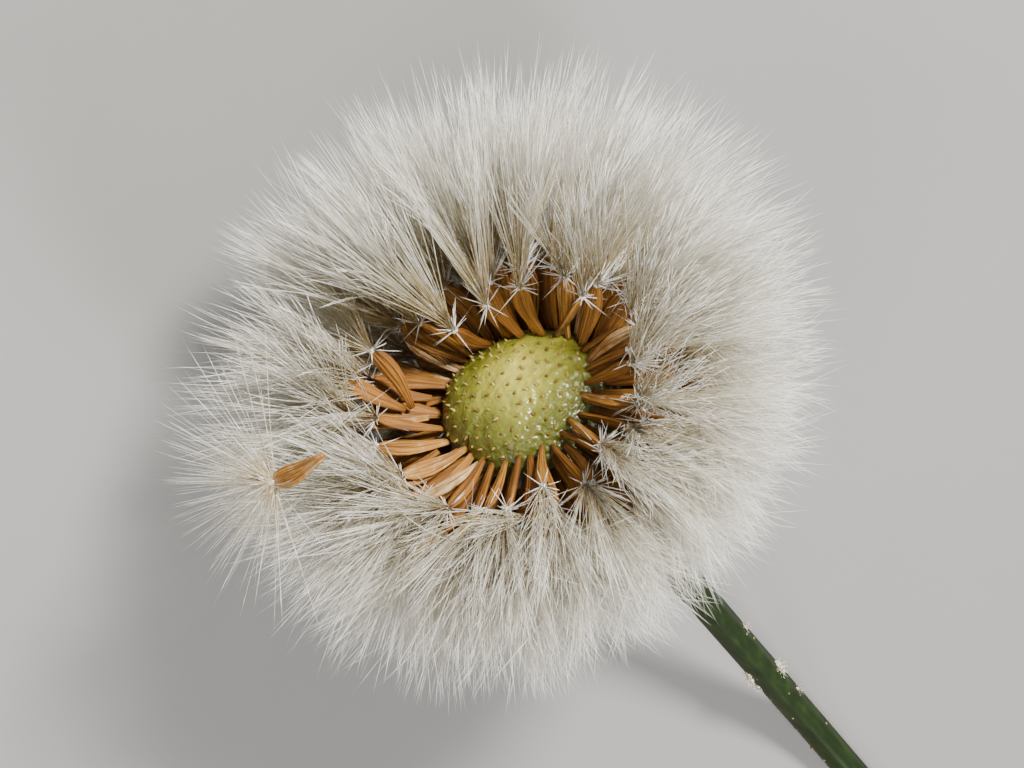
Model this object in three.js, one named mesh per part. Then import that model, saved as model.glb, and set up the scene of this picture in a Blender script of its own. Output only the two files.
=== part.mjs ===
// A seed head of the dandelion family, partly shed, picked with a length of its stem.
// Millimetres, +Z up. It lies on z = 0 with its face towards -Y and its stem towards +Y.
import * as THREE from "three";
import { ConvexHull } from "three/addons/math/ConvexHull.js";
import { mergeVertices } from "three/addons/utils/BufferGeometryUtils.js";

// Ball of hair
const BALL_RADIUS = 14.0;
const BALL_FLATTENING = 0.09; // along the line from low in front to high at the back
const BALL_Y = -20.05;
const BALL_Z = 12.6;
const FACE_TILT = 18; // degrees that the face looks up from level
const OPENING_TILT = 25; // the hair opens towards the viewer of the face, off the head's axis
const OPENING_HALF = 35;
const BACK_LIMIT = 152; // last row of hair, degrees from the head's axis

// Seeds
const SEEDS = 96;
const GOLDEN_STEP = 275.0155; // degrees from one seed to the next, two steps of the golden angle
const SEED_LENGTH = 3.1;
const SEED_WIDTH = 1.0;
const SEED_THICKNESS = 0.46;
const FIT_GAP = 0.05;

// Receptacle
const DOME_RADIUS = 3.4;
const DOME_HEIGHT = 2.4; // semi-axis along the head's axis
const DOME_Z = -3.0;
const DOME_BOTTOM = -4.95;
const DOME_POINTS = 180;
const SCAR_HEIGHT = 0.12;
const ROOT_ROW_BACK = 126;
const BACK_LEAN = 137;

// Involucre and stem
const COLLAR_HEIGHT = 0.75;
const COLLAR_RADIUS = 1.75;
const BRACTS = 13;
const OUTER_LEANS = [72, 20, 12, 10];
const INNER_LEANS = [25, 12, 6, 4];
const STEM_RADIUS = 0.75;
const STEM_NECK_RADIUS = 1.1;
const STEM_SLOPE_LENGTH = 28.6;
const STEM_BEND_RADIUS = 30;
const STEM_FLAT_LENGTH = 12;
const STEM_SIDES = 10;

const RAD = Math.PI / 180;
const GOLDEN_ANGLE = 137.5078;
const X = new THREE.Vector3(1, 0, 0);

// The head's own frame: its axis is +Z, its origin the middle of the ball.
const headFrame = new THREE.Matrix4()
  .makeTranslation(0, BALL_Y, BALL_Z)
  .multiply(new THREE.Matrix4().makeRotationX((90 - FACE_TILT) * RAD));

const inHead = (v) => v.clone().applyMatrix4(headFrame);
const mid = (a, b) => a.clone().add(b).multiplyScalar(0.5);
const mean = (list) =>
  list.reduce((s, v) => s.add(v), new THREE.Vector3()).divideScalar(list.length);

// Even-looking scatter from 0 to 1, the same on every run.
function scatter(a, b) {
  const v = Math.sin(a * 12.9898 + b * 78.233) * 43758.5453;
  return v - Math.floor(v);
}

function direction(polar, azimuth) {
  return new THREE.Vector3(
    Math.sin(polar * RAD) * Math.cos(azimuth * RAD),
    Math.sin(polar * RAD) * Math.sin(azimuth * RAD),
    Math.cos(polar * RAD),
  );
}

function domePoint(g, height) {
  return new THREE.Vector3(
    (DOME_RADIUS + height) * g.x,
    (DOME_RADIUS + height) * g.y,
    DOME_Z + (DOME_HEIGHT + height) * g.z,
  );
}

function closedMesh(name, triangles, material) {
  const raw = new THREE.BufferGeometry().setFromPoints(triangles);
  const geometry = mergeVertices(raw, 1e-4);
  geometry.computeVertexNormals();
  const mesh = new THREE.Mesh(geometry, material);
  mesh.name = name;
  return mesh;
}

const bump = (azimuth, at, width) => Math.exp(-(((azimuth - at) / width) ** 2));

// Rim of the bare part of the cushion, in degrees from its top. Seeds stand closer in on one side.
function bareRim(azimuth) {
  const t = azimuth * RAD;
  return 61 + 4 * Math.cos(t) - 9 * Math.sin(t) - 28 * bump(azimuth, 228, 26);
}

// How far the foremost seeds lean out from the head's axis. Those closer in stand upright.
function frontLean(azimuth) {
  return 64 + 5 * Math.sin(azimuth * RAD) - 50 * bump(azimuth, 215, 45);
}

// A place on the ball, part of the way from the rim of the opening to the last row at the back.
function placeAt(azimuth, share) {
  const front = direction(OPENING_HALF, azimuth).applyAxisAngle(X, -OPENING_TILT * RAD);
  const back = direction(BACK_LIMIT, azimuth);
  const cosFront = Math.cos(OPENING_HALF * RAD);
  const cosAt = cosFront + (Math.cos(BACK_LIMIT * RAD) - cosFront) * share;
  const part = (Math.acos(cosAt) / RAD - OPENING_HALF) / (BACK_LIMIT - OPENING_HALF);
  const turn = front.clone().cross(back).normalize();
  return front.applyAxisAngle(turn, front.angleTo(back) * part);
}

// One seed: its root on the receptacle, the way it points, and its hair's place on the ball.
function seedFrom(rootPolar, lean, place, azimuth) {
  const g = direction(rootPolar, azimuth);
  const root = domePoint(g, 0.32);
  const axis = direction(lean, azimuth);
  const tip = root.clone().addScaledVector(axis, SEED_LENGTH);
  return { g, place, root, axis, tip, azimuth };
}

function seedAt(share, azimuth) {
  const rim = bareRim(azimuth);
  const lean = frontLean(azimuth);
  return seedFrom(
    rim + (ROOT_ROW_BACK - rim) * share ** 1.35,
    lean + (BACK_LEAN - lean) * share ** 1.2,
    placeAt(azimuth, share),
    azimuth,
  );
}

const seeds = [];
for (let k = 0; k < SEEDS; k++) {
  seeds.push(seedAt((k + 0.5) / SEEDS, (k * GOLDEN_STEP) % 360));
}

// Rows that only bound the seeds' shares: one round the opening and one round the stem.
const bounds = [];
for (let k = 0; k < 24; k++) {
  const azimuth = k * 15 + 4;
  const place = direction(OPENING_HALF - 8, azimuth).applyAxisAngle(X, -OPENING_TILT * RAD);
  bounds.push(seedFrom(bareRim(azimuth) - 6, frontLean(azimuth) - 4, place, azimuth));
}
for (let k = 0; k < 20; k++) {
  const place = direction(BACK_LIMIT + 9, k * 18);
  bounds.push(seedFrom(ROOT_ROW_BACK + 8, BACK_LEAN + 8, place, k * 18));
}
bounds.push(seedFrom(0, 0, direction(OPENING_TILT, 90), 90));
bounds.push(seedFrom(180, 180, direction(180, 0), 0));

// Each seed's share of the ball: the corners where three neighbours meet, counter-clockwise.
function sharesOf(sites) {
  const points = sites.map((s) => s.place.clone());
  const index = new Map(points.map((p, i) => [p, i]));
  const turn = sites.map(() => new Map());
  for (const face of new ConvexHull().setFromPoints(points).faces) {
    const ids = [];
    let edge = face.edge;
    do {
      ids.push(index.get(edge.head().point));
      edge = edge.next;
    } while (edge !== face.edge);
    const three = ids.map((i) => sites[i]);
    const corner = {
      g: mean(three.map((s) => s.g)).normalize(),
      from: mean(three.map((s) => s.tip)),
      place: mean(three.map((s) => s.place)).normalize(),
    };
    ids.forEach((id, n) => turn[id].set(ids[(n + 1) % 3], { corner, next: ids[(n + 2) % 3] }));
  }
  return turn.slice(0, SEEDS).map((steps) => {
    const corners = [];
    const start = steps.keys().next().value;
    let at = start;
    do {
      const { corner, next } = steps.get(at);
      corners.push({ ...corner, edge: next >= SEEDS });
      at = next;
    } while (at !== start);
    return corners;
  });
}

const shares = sharesOf([...seeds, ...bounds]);

// The ball's outline is a little flattened, with the same line kept in the head's own frame.
const flattenedWay = new THREE.Vector3(0, 0.788, -0.616);
function onBall(place) {
  return place.clone().multiplyScalar(BALL_RADIUS * (1 - BALL_FLATTENING * place.dot(flattenedWay) ** 2));
}

const onLine = (p, share) => p.from.clone().lerp(onBall(p.place), share);
const halfway = (a, b) => ({
  from: mid(a.from, b.from),
  place: mid(a.place, b.place).normalize(),
});

// Loose seed on the hair, in the head's frame.
const looseRoot = new THREE.Vector3(6.97, 5.17, 9.92);
const looseTip = new THREE.Vector3(9.08, 3.53, 8.66);
const looseLine = new THREE.Line3(looseRoot, looseTip);

function distanceToLoose(p) {
  return looseLine.closestPointToPoint(p, true, new THREE.Vector3()).distanceTo(p);
}

// A tuft of hair: one facet of the hair's outer surface drawn out to a point.
// A tuft that would pass through the table is pressed flat against it.
function drawOut(out, a, b, c, heart, n) {
  const foot = [a, b, c].map((p) => onLine(p, 0.32));
  const aim = mean([a.place, b.place, c.place]).lerp(heart, 0.16).normalize();
  const full = onBall(aim).multiplyScalar(0.93 + 0.07 * scatter(n, 3));
  const tip = full.clone();
  const base = mean(foot);
  for (let s = 1; s > 0.3 && distanceToLoose(tip) < 0.75; s -= 0.03) {
    tip.lerpVectors(base, full, s);
  }
  const low = foot.map(inHead);
  const tipWorld = inHead(tip);
  if (tipWorld.z > 0) {
    for (let i = 0; i < 3; i++) out.push(low[i], low[(i + 1) % 3], tipWorld);
    return;
  }
  const baseWorld = mean(low);
  const pad = tipWorld.lerp(baseWorld, -tipWorld.z / (baseWorld.z - tipWorld.z));
  const top = low.map((p) => {
    const spread = p.clone().sub(baseWorld).multiplyScalar(0.6);
    return new THREE.Vector3(pad.x + spread.x, pad.y + spread.y, 0);
  });
  for (let i = 0; i < 3; i++) {
    const j = (i + 1) % 3;
    out.push(low[i], low[j], top[j], low[i], top[j], top[i]);
  }
  out.push(...top);
}

// Pappus: each seed's hair fans from the seed's end to its share of the ball.
function pappusTriangles() {
  const out = [];
  seeds.forEach((seed, k) => {
    const ring = shares[k];
    const heart = { from: seed.tip, place: seed.place };
    const foot = seed.tip.clone().addScaledVector(seed.axis, FIT_GAP);
    const side = onLine(ring[0], 0.2).sub(foot).projectOnPlane(seed.axis).normalize();
    const low = ring.map((p) => inHead(onLine(p, 0.2)));
    const small = ring.map((p, j) =>
      inHead(
        side
          .clone()
          .multiplyScalar(0.17)
          .applyAxisAngle(seed.axis, (2 * Math.PI * j) / ring.length)
          .add(foot),
      ),
    );
    ring.forEach((p, j) => {
      const i = (j + 1) % ring.length;
      const q = ring[i];
      out.push(small[j], low[i], low[j], small[j], small[i], low[i]);
      if (j > 0 && i > 0) out.push(small[0], small[i], small[j]);
      const inP = halfway(heart, p);
      const inQ = halfway(heart, q);
      const edge = halfway(p, q);
      const n = k * 40 + j * 4;
      drawOut(out, heart, inP, inQ, seed.place, n);
      drawOut(out, inP, p, edge, seed.place, n + 1);
      drawOut(out, inP, edge, inQ, seed.place, n + 2);
      drawOut(out, inQ, edge, q, seed.place, n + 3);
      if (p.edge) {
        const [highP, highE, highQ] = [p, edge, q].map((r) => inHead(onLine(r, 0.32)));
        out.push(low[j], low[i], highE, low[j], highE, highP, low[i], highQ, highE);
      }
    });
  });
  return out;
}

// Sections of a seed from its root to its outer end: share of the length, width, thickness.
const SEED_SECTIONS = [
  [0.11, 0.4, 0.32],
  [0.62, SEED_WIDTH, SEED_THICKNESS],
  [0.88, 0.76, 0.4],
  [1, 0.38, 0.3],
];

function seedSection(root, axis, flatWay, section, sides, start, length) {
  const [share, width, thickness] = section;
  const up = flatWay.clone().cross(axis);
  const points = [];
  for (let j = 0; j < sides; j++) {
    const t = start + (2 * Math.PI * j) / sides;
    points.push(
      root
        .clone()
        .addScaledVector(axis, share * length)
        .addScaledVector(flatWay, (Math.cos(t) * width) / 2)
        .addScaledVector(up, (-Math.sin(t) * thickness) / 2),
    );
  }
  return points;
}

function bandBetween(out, low, high) {
  low.forEach((p, j) => {
    const i = (j + 1) % low.length;
    out.push(p, low[i], high[i], p, high[i], high[j]);
  });
}

function capOver(out, ring) {
  for (let j = 1; j < ring.length - 1; j++) out.push(ring[0], ring[j], ring[j + 1]);
}

// Achenes: packed round the cushion and joined where their roots touch.
function acheneTriangles() {
  const out = [];
  seeds.forEach((seed, k) => {
    const ring = shares[k];
    const inner = ring.map((p) => inHead(domePoint(p.g, 0.14)));
    const outer = ring.map((p) => inHead(domePoint(p.g, 0.3)));
    const middle = inHead(domePoint(seed.g, 0.14));
    const flatWay = direction(90, seed.azimuth + 90);
    const toFirst = domePoint(ring[0].g, 0.3).sub(seed.root);
    const start = Math.atan2(-toFirst.dot(flatWay.clone().cross(seed.axis)), toFirst.dot(flatWay));
    const rings = SEED_SECTIONS.map((s) =>
      seedSection(seed.root, seed.axis, flatWay, s, ring.length, start, SEED_LENGTH).map(inHead),
    );
    [outer, ...rings].forEach((low, i, all) => {
      if (i < all.length - 1) bandBetween(out, low, all[i + 1]);
    });
    capOver(out, rings.at(-1));
    ring.forEach((p, j) => {
      const i = (j + 1) % ring.length;
      out.push(middle, inner[i], inner[j]);
      if (p.edge) out.push(inner[j], inner[i], outer[i], inner[j], outer[i], outer[j]);
    });
  });
  return out;
}

function looseTriangles() {
  const axis = looseTip.clone().sub(looseRoot).normalize();
  const flatWay = mid(looseRoot, looseTip).cross(axis).normalize();
  const length = looseRoot.distanceTo(looseTip);
  const out = [];
  const rings = [[0, 0.3, 0.22], ...SEED_SECTIONS].map((s) =>
    seedSection(looseRoot, axis, flatWay, s, 8, 0, length).map(inHead),
  );
  rings.forEach((low, i) => {
    if (i < rings.length - 1) bandBetween(out, low, rings[i + 1]);
  });
  capOver(out, rings.at(-1));
  capOver(out, [...rings[0]].reverse());
  return out;
}

// Receptacle: a cushion whose bare face carries the raised scars of the shed seeds.
function receptacleTriangles() {
  const sites = [];
  for (let k = 0; k < DOME_POINTS; k++) {
    const polar = Math.acos(1 - (2 * (k + 0.5)) / DOME_POINTS) / RAD;
    sites.push(direction(polar, k * GOLDEN_ANGLE));
  }
  const out = [];
  for (const face of new ConvexHull().setFromPoints(sites).faces) {
    const g = [];
    let edge = face.edge;
    do {
      g.push(edge.head().point);
      edge = edge.next;
    } while (edge !== face.edge);
    const low = g.map((p) => {
      const v = domePoint(p, 0);
      v.z = Math.max(v.z, DOME_BOTTOM);
      return inHead(v);
    });
    const centre = mean(g).normalize();
    const azimuth = Math.atan2(centre.y, centre.x) / RAD;
    if (Math.acos(centre.z) / RAD < bareRim(azimuth) - 12) {
      const top = inHead(domePoint(centre, SCAR_HEIGHT));
      for (let i = 0; i < 3; i++) out.push(low[i], low[(i + 1) % 3], top);
    } else {
      out.push(...low);
    }
  }
  return out;
}

// Involucre: a collar under the cushion with two rows of bracts bent back along the stem.
function involucreTriangles() {
  const out = [];
  const sides = BRACTS * 2;
  const top = DOME_BOTTOM - FIT_GAP;
  const levels = [
    [STEM_NECK_RADIUS + 0.2, top],
    [COLLAR_RADIUS, top],
    [COLLAR_RADIUS + 0.05, top - 0.2],
    [COLLAR_RADIUS - 0.1, top - COLLAR_HEIGHT],
    [STEM_NECK_RADIUS + 0.12, top - COLLAR_HEIGHT],
  ];
  const at = (level, k) => {
    const t = (2 * Math.PI * k) / sides;
    return new THREE.Vector3(
      levels[level][0] * Math.cos(t),
      levels[level][0] * Math.sin(t),
      levels[level][1],
    );
  };
  const bract = (corners, k, length, leans, width) => {
    const t = (2 * Math.PI * (k + 0.5)) / sides;
    const radial = new THREE.Vector3(Math.cos(t), Math.sin(t), 0);
    const across = new THREE.Vector3(-Math.sin(t), Math.cos(t), 0);
    const root = mean(corners);
    let low = corners.map(inHead);
    const steps = [
      [0.12, 0.82, 0.66],
      [0.45, 1, 0.62],
      [0.8, 0.62, 0.6],
      [1, 0.14, 0.5],
    ];
    let spine = root.clone();
    let before = 0;
    for (const [i, [share, w, thick]] of steps.entries()) {
      const angle = leans[i] * RAD;
      const way = radial.clone().multiplyScalar(Math.sin(angle));
      way.z -= Math.cos(angle);
      spine = spine.clone().addScaledVector(way, (share - before) * length);
      before = share;
      const face = across.clone().cross(way).normalize();
      const half = (w * width) / 2;
      const high = [
        [-half, thick / 2],
        [half, thick / 2],
        [half, -thick / 2],
        [-half, -thick / 2],
      ].map(([u, v]) =>
        inHead(spine.clone().addScaledVector(across, u).addScaledVector(face, v)),
      );
      bandBetween(out, low, high);
      low = high;
    }
    capOver(out, low);
  };
  for (let k = 0; k < sides; k++) {
    const j = k + 1;
    const quads = [0, 1, 2, 3, 4].map((level) => {
      const next = (level + 1) % 5;
      return [at(level, k), at(level, j), at(next, j), at(next, k)];
    });
    quads.forEach((quad, level) => {
      const upper = level === 1 && k % 2 === 0;
      const lower = level === 2 && k % 2 === 1;
      const turned = [quad[0], quad[3], quad[2], quad[1]];
      if (upper || lower) {
        const length = upper ? 6.2 + scatter(k, 1) : 3.6 + scatter(k, 2);
        const root = [turned[1], turned[2], turned[3], turned[0]];
        bract(root, k, length, upper ? OUTER_LEANS : INNER_LEANS, upper ? 1.2 : 0.85);
      } else {
        out.push(...[turned[0], turned[1], turned[2]].map(inHead));
        out.push(...[turned[0], turned[2], turned[3]].map(inHead));
      }
    });
  }
  return out;
}

// Stem: down from the head, then a gentle bend, then flat on the table to its cut end.
function stemTriangles() {
  const slope = FACE_TILT * RAD;
  const down = new THREE.Vector3(0, Math.cos(slope), -Math.sin(slope));
  const start = inHead(new THREE.Vector3(0, 0, DOME_BOTTOM - FIT_GAP));
  const stations = [
    [start, slope, STEM_NECK_RADIUS],
    [start.clone().addScaledVector(down, 0.9), slope, STEM_NECK_RADIUS],
    [start.clone().addScaledVector(down, 3.2), slope, STEM_RADIUS * 1.08],
  ];
  const bend = start.clone().addScaledVector(down, STEM_SLOPE_LENGTH);
  bend.z = STEM_RADIUS + STEM_BEND_RADIUS * (1 - Math.cos(slope));
  const steps = 6;
  for (let i = 0; i <= steps; i++) {
    const left = slope * (1 - i / steps);
    stations.push([
      new THREE.Vector3(
        0,
        bend.y + STEM_BEND_RADIUS * (Math.sin(slope) - Math.sin(left)),
        STEM_RADIUS + STEM_BEND_RADIUS * (1 - Math.cos(left)),
      ),
      left,
      STEM_RADIUS,
    ]);
  }
  const last = stations.at(-1)[0].clone();
  last.y += STEM_FLAT_LENGTH;
  stations.push([last, 0, STEM_RADIUS]);
  const rings = stations.map(([centre, angle, radius]) => {
    const up = new THREE.Vector3(0, Math.sin(angle), Math.cos(angle));
    const corner = radius / Math.cos(Math.PI / STEM_SIDES);
    const points = [];
    for (let j = 0; j < STEM_SIDES; j++) {
      const t = (2 * Math.PI * (j + 0.5)) / STEM_SIDES - Math.PI / 2;
      points.push(
        centre
          .clone()
          .addScaledVector(X, -Math.cos(t) * corner)
          .addScaledVector(up, Math.sin(t) * corner),
      );
    }
    return points;
  });
  const out = [];
  rings.forEach((low, i) => {
    if (i < rings.length - 1) bandBetween(out, low, rings[i + 1]);
  });
  capOver(out, rings.at(-1));
  capOver(out, [...rings[0]].reverse());
  return out;
}

const finish = (color, roughness) =>
  new THREE.MeshStandardMaterial({ color, roughness, metalness: 0 });
const seedFinish = finish(0xb57840, 0.6);

const group = new THREE.Group();
group.name = "seed_head";
group.add(
  closedMesh("stem", stemTriangles(), finish(0x46602f, 0.55)),
  closedMesh("involucre", involucreTriangles(), finish(0x5f7d3d, 0.6)),
  closedMesh("receptacle", receptacleTriangles(), finish(0xa9b55e, 0.35)),
  closedMesh("achenes", acheneTriangles(), seedFinish),
  closedMesh("pappus", pappusTriangles(), finish(0xe6e2d6, 0.5)),
  closedMesh("loose_achene", looseTriangles(), seedFinish),
);

export default group;
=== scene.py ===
import math
import bmesh
import bpy
import numpy as np
from mathutils import Matrix, Vector, noise


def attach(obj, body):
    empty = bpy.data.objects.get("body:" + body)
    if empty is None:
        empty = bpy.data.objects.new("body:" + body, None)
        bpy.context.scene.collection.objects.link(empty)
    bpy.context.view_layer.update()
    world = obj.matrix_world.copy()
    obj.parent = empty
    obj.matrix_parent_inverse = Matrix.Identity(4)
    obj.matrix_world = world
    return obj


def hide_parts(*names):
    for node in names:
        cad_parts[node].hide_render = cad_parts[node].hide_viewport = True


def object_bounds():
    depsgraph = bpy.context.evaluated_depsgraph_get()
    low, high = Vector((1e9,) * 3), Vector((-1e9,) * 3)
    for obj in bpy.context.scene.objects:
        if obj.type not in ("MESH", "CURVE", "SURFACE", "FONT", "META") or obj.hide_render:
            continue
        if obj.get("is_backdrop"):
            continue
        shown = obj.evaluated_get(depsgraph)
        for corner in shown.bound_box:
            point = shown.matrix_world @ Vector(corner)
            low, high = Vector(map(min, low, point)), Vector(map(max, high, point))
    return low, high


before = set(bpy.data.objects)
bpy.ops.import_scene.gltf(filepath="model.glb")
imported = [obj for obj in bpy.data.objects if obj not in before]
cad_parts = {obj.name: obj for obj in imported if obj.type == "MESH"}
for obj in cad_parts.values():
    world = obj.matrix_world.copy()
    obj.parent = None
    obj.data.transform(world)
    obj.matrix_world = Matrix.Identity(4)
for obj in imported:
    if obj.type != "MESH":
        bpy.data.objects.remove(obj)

cad_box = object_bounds()


# Cushion (receptacle)
# The fleshy green cushion that bore the seeds. Its face is bare, wet-looking and pitted where
# seeds have left, with a tiny pointed stub in the middle of each pit. The stem carries it.

MM = 0.001
FACE_TILT = math.radians(18)
BALL_MIDDLE = np.array([0.0, -20.05, 12.6])
CUSHION_SIZE = np.array([3.55, 3.55, 2.4])
CUSHION_Z = -3.0
CUSHION_BOTTOM = -4.95
CUSHION_MEAN_RADIUS = 2.9
CUSHION_AREA = 108.1
PIT_SPACING = 0.47
GOLDEN_ANGLE = 137.5078

# Head frame: +Z out of the face, +X to the right, in millimetres from the middle of the ball.
HEAD_AXES = np.array([
    [1.0, 0.0, 0.0],
    [0.0, math.sin(FACE_TILT), -math.cos(FACE_TILT)],
    [0.0, math.cos(FACE_TILT), math.sin(FACE_TILT)],
])


def in_row(points):
    """Points of the head's frame, in millimetres, to metres in the part's frame."""
    return (np.asarray(points) @ HEAD_AXES.T + BALL_MIDDLE) * MM


def way_in_row(ways):
    """Directions of the head's frame to directions of the part's."""
    return np.asarray(ways) @ HEAD_AXES.T


def unit(v):
    return v / np.linalg.norm(v, axis=-1, keepdims=True)


def direction(polar, azimuth):
    """Unit directions from their angle to the head's axis and their angle round it, in degrees."""
    p = np.radians(polar)
    a = np.radians(azimuth)
    return np.stack([np.sin(p) * np.cos(a), np.sin(p) * np.sin(a), np.cos(p) + 0 * a], -1)


def bump(azimuth, at, width):
    """A smooth rise to one at some azimuth."""
    return np.exp(-(((azimuth - at) / width) ** 2))


def bare_rim(azimuth):
    """Where the bare part of the cushion ends, in degrees from its top."""
    t = np.radians(azimuth)
    return 61 + 4 * np.cos(t) - 9 * np.sin(t) - 28 * bump(azimuth, 228, 26)


def cushion_normal(site):
    return unit(site / CUSHION_SIZE)


def swell(site):
    """How far the cushion bulges past an even dome: lobes to the left and right, and soft lumps."""
    x = site[:, 0]
    y = site[:, 1]
    azimuth = np.degrees(np.arctan2(y, x)) % 360
    lobes = 0.52 * bump(azimuth, 318, 48) + 0.36 * bump(azimuth, 150, 34) \
        - 0.14 * bump(azimuth, 250, 24) - 0.12 * bump(azimuth, 80, 26)
    lumps = 0.1 * np.sin(x * 3.1 + 1) * np.sin(y * 3.6 + 2)
    lumps += 0.05 * np.sin(x * 8 + 3 * y) * np.sin(y * 9 + 1)
    lumps += 0.03 * np.sin(x * 17 + 4) * np.sin(y * 15 + 5 * x)
    return lobes * np.hypot(x, y) ** 2 + lumps - 0.03


def on_cushion(site, height):
    """Places on or over the cushion, for unit directions from the middle of its dome."""
    return site * CUSHION_SIZE + [0, 0, CUSHION_Z] \
        + cushion_normal(site) * (swell(site) + height)[:, None]


def piece_from(name, points, faces, smooth=True):
    mesh = bpy.data.meshes.new(name)
    mesh.from_pydata([tuple(p) for p in points], [], faces)
    mesh.validate()
    mesh.polygons.foreach_set("use_smooth", [smooth] * len(mesh.polygons))
    piece = bpy.data.objects.new(name, mesh)
    bpy.context.scene.collection.objects.link(piece)
    return piece


def store(piece, name, values):
    """Keeps a number on every point of a piece, for its material."""
    piece.data.attributes.new(name, "FLOAT", "POINT").data.foreach_set("value", values)


def round_mesh(levels):
    """Points and triangles of an even ball of radius one."""
    ball = bmesh.new()
    bmesh.ops.create_icosphere(ball, subdivisions=levels, radius=1)
    points = [v.co[:] for v in ball.verts]
    faces = [tuple(v.index for v in f.verts) for f in ball.faces]
    ball.free()
    return points, faces


def tube_faces(rings, sides, close_start=True, close_end=True):
    """Quads between rings of points, with a flat cap at either end."""
    faces = []
    for r in range(rings - 1):
        for s in range(sides):
            t = (s + 1) % sides
            faces.append((r * sides + s, r * sides + t, (r + 1) * sides + t, (r + 1) * sides + s))
    if close_start:
        faces.append(tuple(reversed(range(sides))))
    if close_end:
        faces.append(tuple(range((rings - 1) * sides, rings * sides)))
    return faces


class Nodes:
    """Short hand for building a node tree."""

    def __init__(self, tree):
        self.tree = tree

    def add(self, kind, settings=None, **sockets):
        node = self.tree.nodes.new(kind)
        for key, value in (settings or {}).items():
            setattr(node, key, value)
        for key, value in sockets.items():
            self.set(node, key.replace("_", " "), value)
        return node

    def set(self, node, key, value):
        socket = node.inputs[int(key)] if key.isdigit() else node.inputs[key]
        if isinstance(value, bpy.types.NodeSocket):
            self.tree.links.new(value, socket)
        else:
            socket.default_value = value

    def math(self, operation, a, b=0.5, clamp=False):
        node = self.tree.nodes.new("ShaderNodeMath")
        node.operation = operation
        node.use_clamp = clamp
        for key, value in (("0", a), ("1", b)):
            self.set(node, key, value)
        return node.outputs[0]

    def mix(self, factor, a, b):
        node = self.tree.nodes.new("ShaderNodeMix")
        node.data_type = "RGBA"
        for key, value in (("0", factor), ("6", a), ("7", b)):
            self.set(node, key, value)
        return node.outputs[2]

    def ramp(self, factor, stops):
        node = self.tree.nodes.new("ShaderNodeValToRGB")
        self.tree.links.new(factor, node.inputs[0])
        elements = node.color_ramp.elements
        while len(elements) < len(stops):
            elements.new(0.5)
        for element, (place, colour) in zip(elements, stops):
            element.position = place
            element.color = (*colour, 1) if len(colour) == 3 else colour
        return node.outputs[0]


def finish_for(name, roughness, **constants):
    """A new material with a Principled shader; returns it with its nodes and that shader."""
    material = bpy.data.materials.new(name)
    material.use_nodes = True
    nodes = Nodes(material.node_tree)
    shader = material.node_tree.nodes["Principled BSDF"]
    shader.inputs["Roughness"].default_value = roughness
    for key, value in constants.items():
        shader.inputs[key.replace("_", " ")].default_value = value
    return material, nodes, shader


def object_place(nodes):
    return nodes.add("ShaderNodeTexCoord").outputs["Object"]


GRAIN_HEIGHT = 0.08 * MM


def grain_group():
    """Fine uneven grain of living tissue: a mask of light and dark spots, and its relief."""
    tree = bpy.data.node_groups.new("grain", "ShaderNodeTree")
    sockets = tree.interface
    sockets.new_socket("Place", in_out="INPUT", socket_type="NodeSocketVector")
    sockets.new_socket("Size", in_out="INPUT", socket_type="NodeSocketFloat")
    sockets.new_socket("Depth", in_out="INPUT", socket_type="NodeSocketFloat")
    sockets.new_socket("Spots", in_out="OUTPUT", socket_type="NodeSocketFloat")
    sockets.new_socket("Normal", in_out="OUTPUT", socket_type="NodeSocketVector")
    build = Nodes(tree)
    start = build.add("NodeGroupInput")
    end = build.add("NodeGroupOutput")
    spots = build.add("ShaderNodeTexNoise", Vector=start.outputs["Place"], Scale=start.outputs["Size"],
                      Detail=4.0, Roughness=0.6)
    relief = build.add("ShaderNodeBump", Height=spots.outputs["Fac"], Strength=start.outputs["Depth"],
                       Distance=GRAIN_HEIGHT)
    tree.links.new(spots.outputs["Fac"], end.inputs["Spots"])
    tree.links.new(relief.outputs[0], end.inputs["Normal"])
    return tree


GRAIN = grain_group()


def grain(nodes, place, size, depth=0.4):
    node = nodes.add("ShaderNodeGroup", {"node_tree": GRAIN}, Size=size, Depth=depth)
    nodes.set(node, "Place", place)
    return node.outputs["Spots"], node.outputs["Normal"]


def attribute(nodes, name):
    return nodes.add("ShaderNodeAttribute", {"attribute_name": name}).outputs["Fac"]


def sites_on_sphere(count):
    k = np.arange(count)
    polar = np.degrees(np.arccos(1 - 2 * (k + 0.5) / count))
    return polar, (k * GOLDEN_ANGLE) % 360


# Pits left by the shed seeds, spread like the seeds themselves.
pit_polar, pit_azimuth = sites_on_sphere(int(CUSHION_AREA / PIT_SPACING**2))
on_face = pit_polar < bare_rim(pit_azimuth) - 1
pit_site = direction(pit_polar[on_face], pit_azimuth[on_face])
dice = np.random.default_rng(11)
pit_site = unit(pit_site + dice.normal(0, 0.018, pit_site.shape))

# The face's relief: blisters, fullest on one side, and a rim and a dip at every pit.
grid, cushion_faces = round_mesh(7)
grid_site = unit(np.array(grid))
away = np.arccos(np.clip((grid_site @ pit_site.T).max(1), -1, 1)) * CUSHION_MEAN_RADIUS
bare = grid_site[:, 2] > 0
blisters = np.array([noise.voronoi(Vector(v) * 11.5)[0][0] for v in grid_site])
rough = np.clip(1.35 * (grid_site @ direction(55, 112) - 0.35), 0.14, 1)
rise = 0.06 * rough * (1 - (blisters / 0.55) ** 2)
rise += 0.03 * np.exp(-(((away - 0.11) / 0.05) ** 2)) - 0.03 * np.exp(-((away / 0.06) ** 2))
cushion_points = on_cushion(grid_site, np.where(bare, rise, 0))
cushion_points[:, 2] = np.maximum(cushion_points[:, 2], CUSHION_BOTTOM)
cushion = piece_from("cushion", in_row(cushion_points), cushion_faces)
store(cushion, "pit", np.where(bare, np.exp(-((away / 0.09) ** 2)), 0))

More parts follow.
